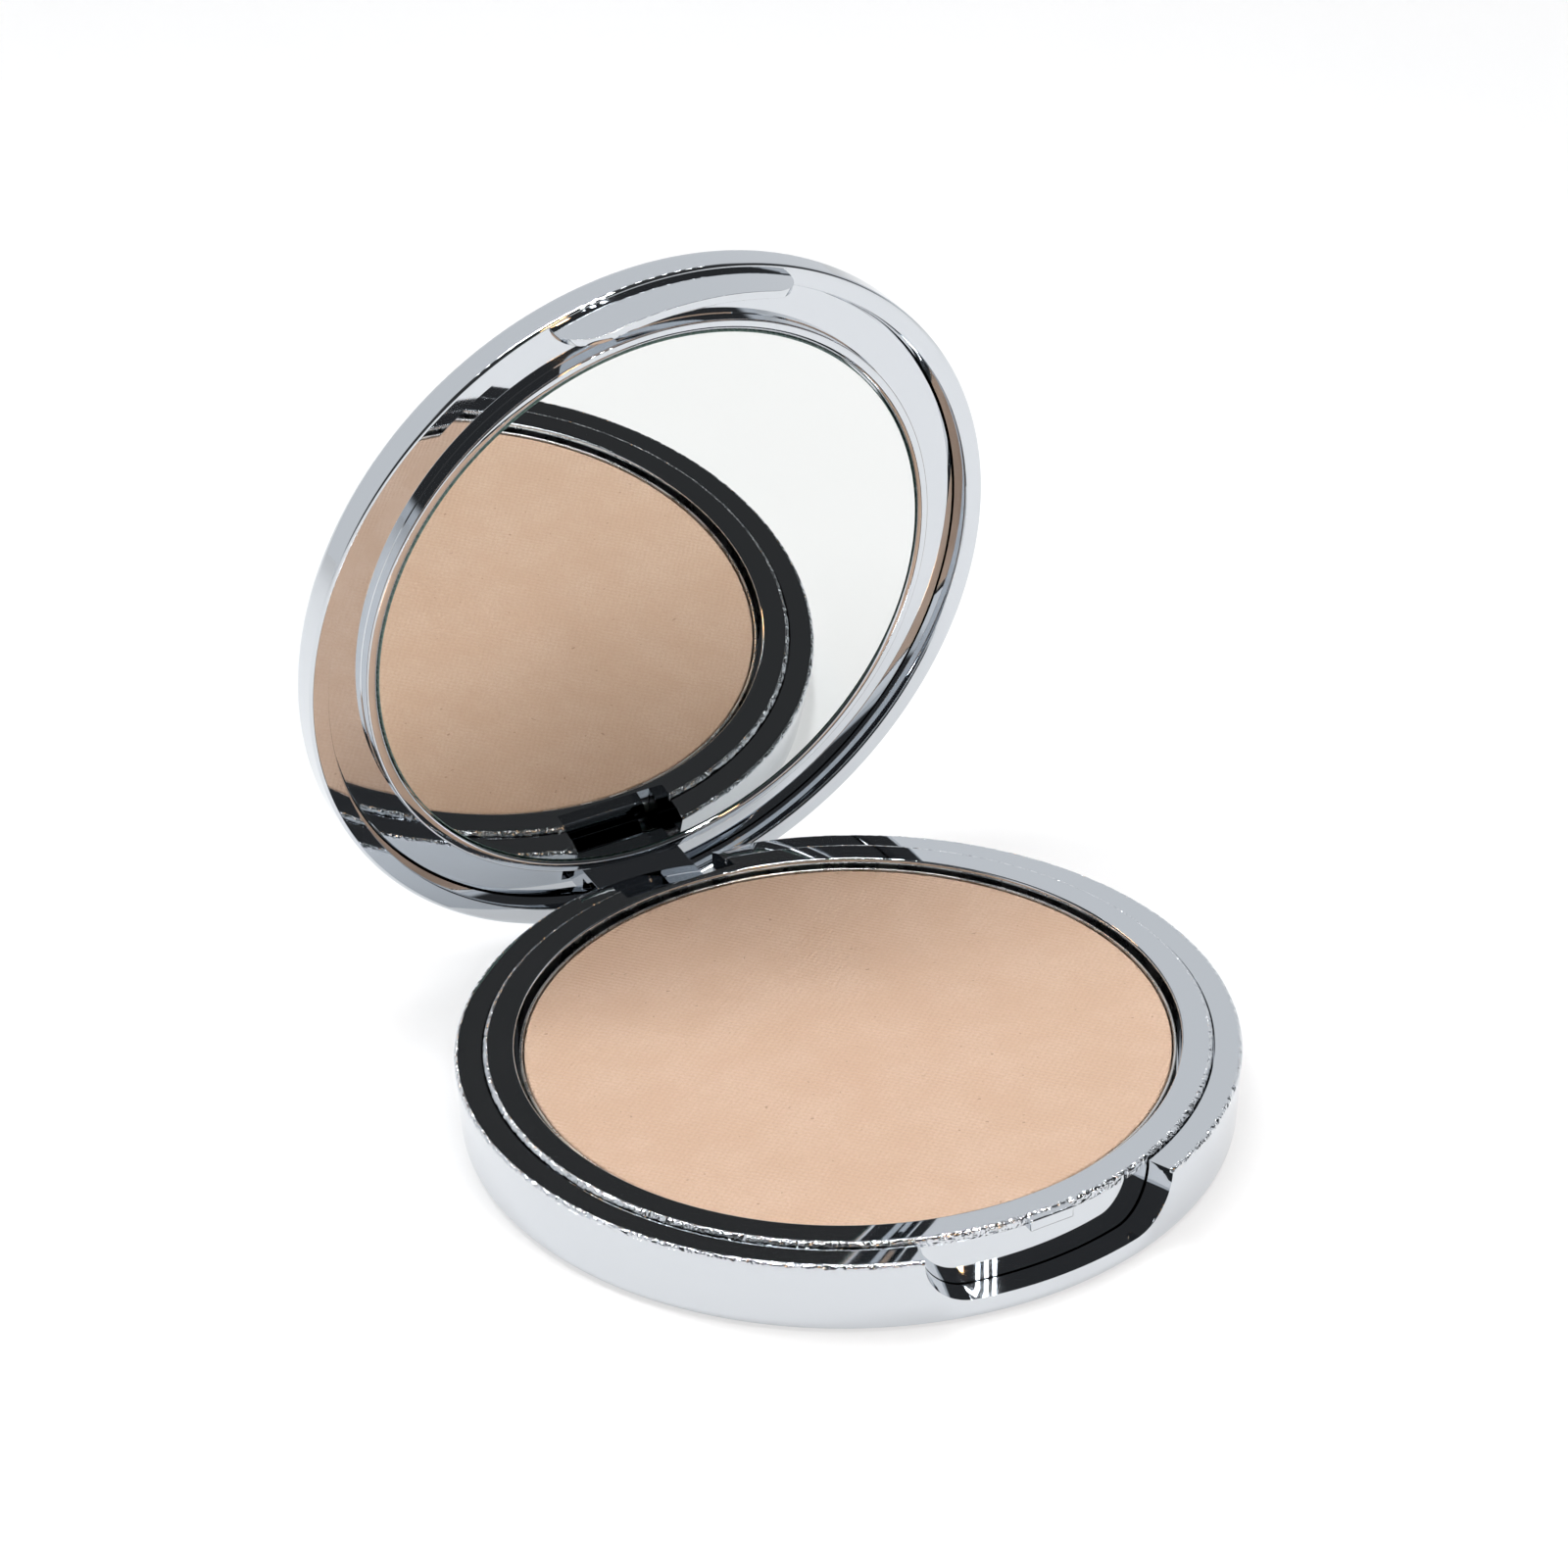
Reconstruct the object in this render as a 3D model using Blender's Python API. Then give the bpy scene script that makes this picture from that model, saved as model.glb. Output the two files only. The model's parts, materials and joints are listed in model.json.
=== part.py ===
"""Round pressed-powder compact, standing open on a table.

The origin is the centre of the base's underside, the thumb notch faces -Y and the hinge is at +Y.
Every lid piece is drawn in the closed position and swung open on the hinge axis.
"""

import math

import bmesh
import bpy

MM = 0.001

# Driving dimensions, in millimetres
BODY_RADIUS = 36.0
BASE_RIM_Z = 7.1
DECK_STEP = 0.45
LID_RIM_Z = 7.25
LID_TOP_Z = 10.95
LID_CROWN = 0.15
LID_OPEN_DEG = 82.0
HINGE_Y = 33.5
HINGE_Z = 2.45
PART_GAP = 0.15
CUT_PAST = 5.0
SUNK = 0.35

# Base shell
BASE_FOOT_RADIUS = 35.7
BASE_FOOT_ROUND = 0.8
RIM_EDGE_ROUND = 0.35
SHELL_FLOOR_Z = 1.2
LABEL_RADIUS = 24.0
LABEL_RECESS = 0.35
LABEL_THICKNESS = 0.2

# Inner deck
DECK_RADIUS = 33.35
DECK_EDGE_ROUND = 0.42
DECK_FLOOR_Z = 1.5
DECK_FLOOR_THICKNESS = 0.7
WELL_RADIUS = 30.5
WELL_EDGE_ROUND = 0.2

# Pan, powder and the glue under the pan
PAN_RADIUS = 30.05
PAN_FLOOR_Z = 2.75
PAN_RIM_Z = 6.8
PAN_WALL = 0.3
PAN_FOOT_ROUND = 0.5
POWDER_TOP_Z = 6.7
POWDER_EDGE_ROUND = 0.2
GLUE_RADIUS = 21.0
GLUE_THICKNESS = 0.25

# Thumb notch in the base
NOTCH_HALF_WIDTH = 13.0
NOTCH_FLOOR_Z = 2.2
NOTCH_CORNER = 4.6
NIB_HALF_WIDTH = 2.2
NIB_LOW_Z = 6.3
NIB_REACH = 0.6
NIB_DROP = 0.12

# Lid
RING_FLOOR_Z = 9.0
FRAME_RADIUS = 33.6
FRAME_BACK_Z = 9.75
MIRROR_SEAT_Z = 9.25
MIRROR_FACE_Z = 7.95
MIRROR_RADIUS = 28.85
MIRROR_THICKNESS = 0.95
TAPE_RADIUS = 24.0
TAPE_THICKNESS = 0.14
TAPE_GAP = 0.12
BEAD_INNER_RADIUS = 29.0
BEAD_OUTER_RADIUS = 30.1
BEAD_CREST_Z = 7.7
BEAD_TOP_RADIUS = 29.55
BEAD_FALL = 0.4
BEAD_EDGE_ROUND = 0.2
BEAD_ROOT = 0.08
LID_SHOULDER_ROUND = 1.35
LID_WALL_TOP_RADIUS = 34.1

# Front tab of the lid, which hangs in the base's notch and snaps over the nib
TAB_OUTER_RADIUS = 35.4
TAB_INNER_RADIUS = 34.62
TAB_LOW_Z = 3.0
TAB_HALF_WIDTH = 12.55
TAB_CORNER = 4.25
HOOK_INNER_RADIUS = 34.4
HOOK_HALF_WIDTH = 3.1
HOOK_HIGH_Z = 4.1
HOOK_EDGE = 0.15

# Hinge
PIN_RADIUS = 0.75
PIN_HALF_LENGTH = 8.5
BORE_RADIUS = 0.85
SLOT_HALF_WIDTH = 5.9
SLOT_FRONT_Y = 31.0
SLOT_FLOOR_Z = 0.95
LUG_HALF_WIDTH = 5.2
LUG_FRONT_Y = 32.2
LUG_WEB_BACK_Y = 33.15
LUG_HEEL_Y = 35.0
LUG_BARREL_RADIUS = 1.3
RELIEF_HALF_WIDTH = 9.6

RING_STEPS = 72
SMALL_STEPS = 28

CHROME = ("chrome_plating", (0.80, 0.81, 0.83), 0.06, 1.0)
ALUMINIUM = ("pan_aluminium", (0.72, 0.71, 0.69), 0.28, 1.0)
STEEL = ("pin_steel", (0.56, 0.56, 0.57), 0.25, 1.0)
POWDER = ("pressed_powder", (0.75, 0.55, 0.40), 0.95, 0.0)
GLUE = ("clear_glue", (0.82, 0.79, 0.68), 0.45, 0.0)
MIRROR = ("mirror_glass", (0.92, 0.93, 0.93), 0.02, 1.0)
TAPE = ("foam_tape", (0.86, 0.86, 0.83), 0.8, 0.0)
LABEL = ("paper_label", (0.88, 0.88, 0.86), 0.6, 0.0)


def clear_scene():
    """Remove whatever the opened file holds."""
    for item in list(bpy.data.objects):
        bpy.data.objects.remove(item, do_unlink=True)


def finish_material(finish):
    """Return the Principled material for one of the finishes above."""
    name, colour, roughness, metallic = finish
    found = bpy.data.materials.get(name)
    if found:
        return found
    made = bpy.data.materials.new(name)
    made.use_nodes = True
    shader = made.node_tree.nodes["Principled BSDF"]
    shader.inputs["Base Color"].default_value = (*colour, 1.0)
    shader.inputs["Roughness"].default_value = roughness
    shader.inputs["Metallic"].default_value = metallic
    return made


def arc(centre, radius, start_deg, end_deg, steps):
    """Return the points of an arc in the (radius, height) plane."""
    points = []
    for step in range(steps + 1):
        angle = math.radians(start_deg + (end_deg - start_deg) * step / steps)
        points.append((centre[0] + radius * math.cos(angle), centre[1] + radius * math.sin(angle)))
    return points


def turned(profile, steps=RING_STEPS):
    """Turn a closed outline of (radius, height) points about Z."""
    bm = bmesh.new()
    rows = []
    for radius, height in profile:
        if radius < 1e-6:
            rows.append([bm.verts.new((0, 0, height * MM))])
            continue
        row = []
        for step in range(steps):
            angle = 2 * math.pi * step / steps
            spot = (radius * math.cos(angle) * MM, radius * math.sin(angle) * MM, height * MM)
            row.append(bm.verts.new(spot))
        rows.append(row)
    for row, after in zip(rows, rows[1:] + rows[:1]):
        join_rows(bm, row, after, steps)
    bmesh.ops.recalc_face_normals(bm, faces=bm.faces)
    return bm


def join_rows(bm, row, after, steps):
    """Bridge two rings of vertices, either of which may be a pole."""
    if len(row) == 1 and len(after) == 1:
        return
    for step in range(steps):
        follow = (step + 1) % steps
        if len(row) == 1:
            bm.faces.new((row[0], after[step], after[follow]))
        elif len(after) == 1:
            bm.faces.new((row[step], after[0], row[follow]))
        else:
            bm.faces.new((row[step], after[step], after[follow], row[follow]))


def prism(outline, low_x, high_x):
    """Extrude a closed (y, z) outline along X."""
    bm = bmesh.new()
    low = [bm.verts.new((low_x * MM, y * MM, z * MM)) for y, z in outline]
    face = bm.faces.new(low)
    grown = bmesh.ops.extrude_face_region(bm, geom=[face])["geom"]
    moved = [item for item in grown if isinstance(item, bmesh.types.BMVert)]
    bmesh.ops.translate(bm, verts=moved, vec=((high_x - low_x) * MM, 0, 0))
    bmesh.ops.recalc_face_normals(bm, faces=bm.faces)
    return bm


def rod(radius, half_length, y, z):
    """A round rod along X."""
    outline = arc((y, z), radius, 0, 360 * (1 - 1 / SMALL_STEPS), SMALL_STEPS - 1)
    return prism(outline, -half_length, half_length)


def radial_block(outline, inner_radius, outer_radius):
    """Sweep a (distance along the rim, height) outline outwards from the Z axis, facing -Y."""
    bm = bmesh.new()
    rings = []
    for radius in (inner_radius, outer_radius):
        ring = []
        for along, height in outline:
            angle = along / BODY_RADIUS
            spot = (radius * math.sin(angle) * MM, -radius * math.cos(angle) * MM, height * MM)
            ring.append(bm.verts.new(spot))
        rings.append(ring)
    inner, outer = rings
    bm.faces.new(inner)
    bm.faces.new(outer)
    for index in range(len(outline)):
        follow = (index + 1) % len(outline)
        bm.faces.new((inner[index], inner[follow], outer[follow], outer[index]))
    bmesh.ops.recalc_face_normals(bm, faces=bm.faces)
    bmesh.ops.triangulate(bm, faces=bm.faces)
    return bm


def place(name, bm, finish, hinge=None):
    """Make the object; a lid piece gets its origin on the hinge axis and hangs on its empty."""
    mesh = bpy.data.meshes.new(name)
    if hinge:
        bmesh.ops.translate(bm, verts=bm.verts, vec=(0, -HINGE_Y * MM, -HINGE_Z * MM))
    bm.to_mesh(mesh)
    bm.free()
    mesh.shade_smooth()
    mesh.set_sharp_from_angle(angle=math.radians(30))
    made = bpy.data.objects.new(name, mesh)
    bpy.context.scene.collection.objects.link(made)
    made.parent = hinge
    if finish:
        mesh.materials.append(finish_material(finish))
    else:
        made.hide_render = True
        made.display_type = "WIRE"
    return made


def combine(target, other, operation):
    """Cut or join the other body into the target."""
    step = target.modifiers.new(other.name, "BOOLEAN")
    step.operation = operation
    step.solver = "EXACT"
    step.object = other


def u_outline(half_width, corner, low, high):
    """A U seen from the front: a flat bottom, round lower corners and an open top that is closed level."""
    straight = half_width - corner
    left = arc((-straight, low + corner), corner, 180, 270, 8)
    right = arc((straight, low + corner), corner, 270, 360, 8)
    bottom = [(straight * (step / 5 - 1), low) for step in range(1, 10)]
    top = [(half_width * (1 - step / 5), high) for step in range(11)]
    return left + bottom + right + top


def base_shell(slot, bore):
    """Outer cup with the flat rim, cut for the thumb notch and the hinge slot."""
    foot = arc((BASE_FOOT_RADIUS - BASE_FOOT_ROUND, BASE_FOOT_ROUND), BASE_FOOT_ROUND, -90, 0, 4)
    rim = arc((BODY_RADIUS - RIM_EDGE_ROUND, BASE_RIM_Z - RIM_EDGE_ROUND), RIM_EDGE_ROUND, 0, 90, 4)
    inner = DECK_RADIUS + PART_GAP
    profile = [(0, LABEL_RECESS), (LABEL_RADIUS, LABEL_RECESS), (LABEL_RADIUS, 0)]
    profile += foot + rim + [(inner, BASE_RIM_Z), (inner, SHELL_FLOOR_Z), (0, SHELL_FLOOR_Z)]
    shell = place("base_shell", turned(profile), CHROME)
    notch_shape = u_outline(NOTCH_HALF_WIDTH, NOTCH_CORNER, NOTCH_FLOOR_Z, BASE_RIM_Z + CUT_PAST)
    notch = place("notch_cutter", radial_block(notch_shape, DECK_RADIUS - 0.5, BODY_RADIUS + CUT_PAST), None)
    relief = place("relief_cutter", prism(relief_outline(), -RELIEF_HALF_WIDTH, RELIEF_HALF_WIDTH), None)
    for cutter in (notch, slot, bore, relief):
        combine(shell, cutter, "DIFFERENCE")


def relief_outline():
    """Chamfer on the rim beside the hinge, where the lid's rim rolls over it."""
    return [(34.3, BASE_RIM_Z), (35.8, BASE_RIM_Z - 0.55), (38, BASE_RIM_Z - 1.35), (38, 9), (34.3, 9)]


def base_deck(slot, bore):
    """Raised inner deck with the well for the pan, its floor and the catch nib."""
    top = BASE_RIM_Z + DECK_STEP
    outer = arc((DECK_RADIUS - DECK_EDGE_ROUND, top - DECK_EDGE_ROUND), DECK_EDGE_ROUND, 0, 90, 5)
    inner = arc((WELL_RADIUS + WELL_EDGE_ROUND, top - WELL_EDGE_ROUND), WELL_EDGE_ROUND, 90, 180, 3)
    well_floor = DECK_FLOOR_Z + DECK_FLOOR_THICKNESS
    profile = [(0, DECK_FLOOR_Z), (DECK_RADIUS, DECK_FLOOR_Z)]
    profile += outer + inner + [(WELL_RADIUS, well_floor), (0, well_floor)]
    deck = place("base_deck", turned(profile), CHROME)
    combine(deck, place("nib_guide", nib_block(), None), "UNION")
    for cutter in (slot, bore):
        combine(deck, cutter, "DIFFERENCE")


def nib_block():
    """The small ledge on the notch's back wall that the lid snaps over."""
    face = DECK_RADIUS + NIB_REACH
    top = BASE_RIM_Z + DECK_STEP - NIB_DROP
    root = DECK_RADIUS - 2 * SUNK
    outline = [(-root, NIB_LOW_Z), (-face + 0.15, NIB_LOW_Z), (-face, NIB_LOW_Z + 0.3)]
    outline += [(-face, top - 0.35), (-face + 0.25, top), (-root, top)]
    return prism(outline, -NIB_HALF_WIDTH, NIB_HALF_WIDTH)


def powder_pan():
    """Thin pressed aluminium cup."""
    foot = arc((PAN_RADIUS - PAN_FOOT_ROUND, PAN_FLOOR_Z + PAN_FOOT_ROUND), PAN_FOOT_ROUND, -90, 0, 3)
    lip = arc((PAN_RADIUS - PAN_WALL / 2, PAN_RIM_Z - PAN_WALL / 2), PAN_WALL / 2, 0, 180, 4)
    inner_floor = PAN_FLOOR_Z + PAN_WALL
    profile = [(0, PAN_FLOOR_Z)] + foot + lip + [(PAN_RADIUS - PAN_WALL, inner_floor), (0, inner_floor)]
    place("powder_pan", turned(profile), ALUMINIUM)


def powder_cake():
    """The pressed powder in the pan."""
    radius = PAN_RADIUS - PAN_WALL - PART_GAP
    low = PAN_FLOOR_Z + PAN_WALL + PART_GAP
    edge = arc((radius - POWDER_EDGE_ROUND, POWDER_TOP_Z - POWDER_EDGE_ROUND), POWDER_EDGE_ROUND, 0, 90, 3)
    place("powder_cake", turned([(0, low), (radius, low)] + edge + [(0, POWDER_TOP_Z)]), POWDER)


def flat_disc(name, radius, low, thickness, finish, hinge=None):
    """A plain thin disc."""
    high = low + thickness
    place(name, turned([(0, low), (radius, low), (radius, high), (0, high)], 64), finish, hinge)


def lid_cover(hinge):
    """Outer lid with the rim that meets the base's rim, and the front tab with its hook."""
    inner = FRAME_RADIUS + PART_GAP
    back = FRAME_BACK_Z + PART_GAP
    lip = arc((BODY_RADIUS - RIM_EDGE_ROUND, LID_RIM_Z + RIM_EDGE_ROUND), RIM_EDGE_ROUND, -90, 0, 4)
    corner = (BODY_RADIUS - LID_SHOULDER_ROUND, LID_TOP_Z - LID_SHOULDER_ROUND)
    shoulder = arc(corner, LID_SHOULDER_ROUND, 0, 90, 6)
    profile = [(0, back), (inner, back), (inner, RING_FLOOR_Z), (LID_WALL_TOP_RADIUS - 0.08, LID_RIM_Z + 0.3)]
    profile += [(LID_WALL_TOP_RADIUS + 0.1, LID_RIM_Z)] + lip + shoulder
    for radius in (26, 14, 0):
        profile.append((radius, LID_TOP_Z + LID_CROWN * (1 - (radius / corner[0]) ** 2)))
    cover = place("lid_cover", turned(profile), CHROME, hinge)
    combine(cover, front_tab(hinge), "UNION")


def front_tab(hinge):
    """The tab that hangs from the lid's rim: a strip of a ring, trimmed to a U, with its hook."""
    low, high = TAB_LOW_Z - SUNK, LID_RIM_Z + SUNK
    ring = [(TAB_INNER_RADIUS, low), (TAB_OUTER_RADIUS, low)]
    ring += [(TAB_OUTER_RADIUS, high), (TAB_INNER_RADIUS, high)]
    tab = place("tab_guide", turned(ring), None, hinge)
    shape = u_outline(TAB_HALF_WIDTH, TAB_CORNER, TAB_LOW_Z, high + SUNK)
    trim = radial_block(shape, TAB_INNER_RADIUS - CUT_PAST, TAB_OUTER_RADIUS + CUT_PAST)
    combine(tab, place("tab_trim", trim, None, hinge), "INTERSECT")
    combine(tab, place("hook_guide", hook_block(), None, hinge), "UNION")
    return tab


def hook_block():
    """The catch low on the tab's inner face."""
    face, root = HOOK_INNER_RADIUS, TAB_OUTER_RADIUS - SUNK
    low = TAB_LOW_Z + HOOK_EDGE
    outline = [(-root, low), (-face - HOOK_EDGE, low), (-face, low + HOOK_EDGE)]
    outline += [(-face, HOOK_HIGH_Z - HOOK_EDGE), (-face - HOOK_EDGE, HOOK_HIGH_Z), (-root, HOOK_HIGH_Z)]
    return prism(outline, -HOOK_HALF_WIDTH, HOOK_HALF_WIDTH)


def bead():
    """The raised round bead that frames the mirror: a steep outer flank and a soft fall to the glass."""
    edge = (BEAD_OUTER_RADIUS - BEAD_EDGE_ROUND, BEAD_CREST_Z + BEAD_EDGE_ROUND)
    points = arc(edge, BEAD_EDGE_ROUND, 0, -90, 4)
    for step in range(7):
        angle = math.pi / 2 * step / 6
        radius = BEAD_TOP_RADIUS - (BEAD_TOP_RADIUS - BEAD_INNER_RADIUS) * math.sin(angle)
        points.append((radius, BEAD_CREST_Z + BEAD_FALL * (1 - math.cos(angle))))
    return points


def lid_frame(hinge, bore):
    """Inner lid: back plate, recessed ring, mirror bead and the hinge lug."""
    profile = [(0, FRAME_BACK_Z), (FRAME_RADIUS, FRAME_BACK_Z), (FRAME_RADIUS, RING_FLOOR_Z)]
    profile += [(BEAD_OUTER_RADIUS + BEAD_ROOT, RING_FLOOR_Z), (BEAD_OUTER_RADIUS, RING_FLOOR_Z - BEAD_ROOT)]
    profile += bead() + [(BEAD_INNER_RADIUS, MIRROR_SEAT_Z), (0, MIRROR_SEAT_Z)]
    frame = place("lid_frame", turned(profile), CHROME, hinge)
    lug = place("lug_guide", prism(lug_outline(), -LUG_HALF_WIDTH, LUG_HALF_WIDTH), None, hinge)
    combine(frame, lug, "UNION")
    combine(frame, bore, "DIFFERENCE")


def lug_outline():
    """Side view of the hinge lug, from its barrel up to the lid's ring."""
    barrel = arc((HINGE_Y, HINGE_Z), LUG_BARREL_RADIUS, 180, 350, 12)
    heel = [(LUG_HEEL_Y, 3.5), (LUG_HEEL_Y, LID_RIM_Z - 0.4), (LUG_HEEL_Y - 0.2, LID_RIM_Z - 0.2)]
    root = RING_FLOOR_Z + SUNK
    web = [(LUG_WEB_BACK_Y, LID_RIM_Z - 0.2), (LUG_WEB_BACK_Y, root), (LUG_FRONT_Y, root)]
    return barrel + heel + web


def build():
    """Make the whole compact."""
    clear_scene()
    hinge = bpy.data.objects.new("lid_axis", None)
    bpy.context.scene.collection.objects.link(hinge)
    hinge.location = (0, HINGE_Y * MM, HINGE_Z * MM)
    hinge.rotation_euler = (math.radians(-LID_OPEN_DEG), 0, 0)

    slot_outline = [(SLOT_FRONT_Y, SLOT_FLOOR_Z), (40, SLOT_FLOOR_Z), (40, 12), (SLOT_FRONT_Y, 12)]
    slot = place("slot_cutter", prism(slot_outline, -SLOT_HALF_WIDTH, SLOT_HALF_WIDTH), None)
    bore = place("bore_cutter", rod(BORE_RADIUS, PIN_HALF_LENGTH + 0.2, HINGE_Y, HINGE_Z), None)
    lid_bore = place("lid_bore_cutter", rod(BORE_RADIUS, PIN_HALF_LENGTH, HINGE_Y, HINGE_Z), None, hinge)

    base_shell(slot, bore)
    base_deck(slot, bore)
    flat_disc("base_label", LABEL_RADIUS - 0.4, 0, LABEL_THICKNESS, LABEL)
    flat_disc("pan_glue", GLUE_RADIUS, PAN_FLOOR_Z - PART_GAP - GLUE_THICKNESS, GLUE_THICKNESS, GLUE)
    powder_pan()
    powder_cake()
    place("hinge_pin", rod(PIN_RADIUS, PIN_HALF_LENGTH, HINGE_Y, HINGE_Z), STEEL)

    lid_cover(hinge)
    lid_frame(hinge, lid_bore)
    flat_disc("lid_mirror", MIRROR_RADIUS, MIRROR_FACE_Z, MIRROR_THICKNESS, MIRROR, hinge)
    tape_low = MIRROR_SEAT_Z - TAPE_GAP - TAPE_THICKNESS
    flat_disc("mirror_tape", TAPE_RADIUS, tape_low, TAPE_THICKNESS, TAPE, hinge)


build()
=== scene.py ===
"""Open pressed-powder compact: chromed base and lid, a pan of powder and a round mirror.

Everything is in metres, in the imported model's frame: the origin is the centre of the underside, +Z is up,
the thumb notch faces -Y and the hinge is at +Y. Lid pieces are modelled shut and then swung open.
"""

import json
import logging
import math
from dataclasses import dataclass
from enum import Enum
from typing import Callable, Sequence

import bpy
from mathutils import Matrix, Vector


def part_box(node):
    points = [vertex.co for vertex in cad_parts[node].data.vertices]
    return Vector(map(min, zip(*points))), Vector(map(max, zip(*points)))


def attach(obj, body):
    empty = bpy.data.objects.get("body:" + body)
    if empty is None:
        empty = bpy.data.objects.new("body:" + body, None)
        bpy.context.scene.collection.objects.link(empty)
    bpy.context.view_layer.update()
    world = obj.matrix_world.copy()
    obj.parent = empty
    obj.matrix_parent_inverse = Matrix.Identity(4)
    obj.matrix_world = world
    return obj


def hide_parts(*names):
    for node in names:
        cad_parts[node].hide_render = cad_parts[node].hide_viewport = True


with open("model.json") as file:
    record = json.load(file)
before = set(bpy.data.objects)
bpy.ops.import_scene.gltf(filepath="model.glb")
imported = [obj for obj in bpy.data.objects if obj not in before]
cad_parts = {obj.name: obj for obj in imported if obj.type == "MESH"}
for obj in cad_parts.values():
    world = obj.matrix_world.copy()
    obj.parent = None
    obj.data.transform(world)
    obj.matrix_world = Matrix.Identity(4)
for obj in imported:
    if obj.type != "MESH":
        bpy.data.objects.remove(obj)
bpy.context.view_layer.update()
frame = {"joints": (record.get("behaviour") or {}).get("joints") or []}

LOG = logging.getLogger("powder_compact")

MM = 0.001
FULL_TURN = 2 * math.pi
RING_STEPS = 256
ARC_STEPS = 10
MERGE_DISTANCE = 1e-6
PART_GAP = 0.15 * MM
# Radii between which the base's rim and deck turn over into their walls
BASE_EDGES = ((35.66 * MM, 36.01 * MM), (32.94 * MM, 33.36 * MM))

Point = tuple[float, float, float]
Profile = list[tuple[float, float]]
Chooser = Callable[[Vector], bool]


class Body(Enum):
    """The two bodies that the pieces ride on."""

    BASE = "base"
    LID = "lid"


class Slot(Enum):
    """The record's material slots."""

    CHROME = "chrome"
    LABEL = "label"
    GLUE = "glue"
    PAN = "pan"
    POWDER = "powder"
    PIN = "pin"
    MIRROR = "mirror"
    TAPE = "tape"


# ---------------------------------------------------------------- outlines


def arc(centre: tuple[float, float], radius: float, start: float, end: float, steps: int = ARC_STEPS) -> Profile:
    """Points along an arc in the (radius, height) plane.

    Args:
        centre: The arc's centre.
        radius: The arc's radius.
        start: The first point's angle in degrees.
        end: The last point's angle in degrees.
        steps: How many chords stand for the arc.

    Returns:
        The points, both ends included.
    """
    turns = [math.radians(start + (end - start) * step / steps) for step in range(steps + 1)]
    return [(centre[0] + radius * math.cos(turn), centre[1] + radius * math.sin(turn)) for turn in turns]


def run(start: tuple[float, float], end: tuple[float, float], steps: int) -> Profile:
    """Evenly spaced points after the start and up to the end.

    Args:
        start: Where the run begins; this point is left out.
        end: Where the run ends; this point is kept.
        steps: How many points it gives.

    Returns:
        The points in order.
    """
    shares = [step / steps for step in range(1, steps + 1)]
    return [(start[0] + (end[0] - start[0]) * s, start[1] + (end[1] - start[1]) * s) for s in shares]


# ---------------------------------------------------------------- modelling by hand


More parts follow.
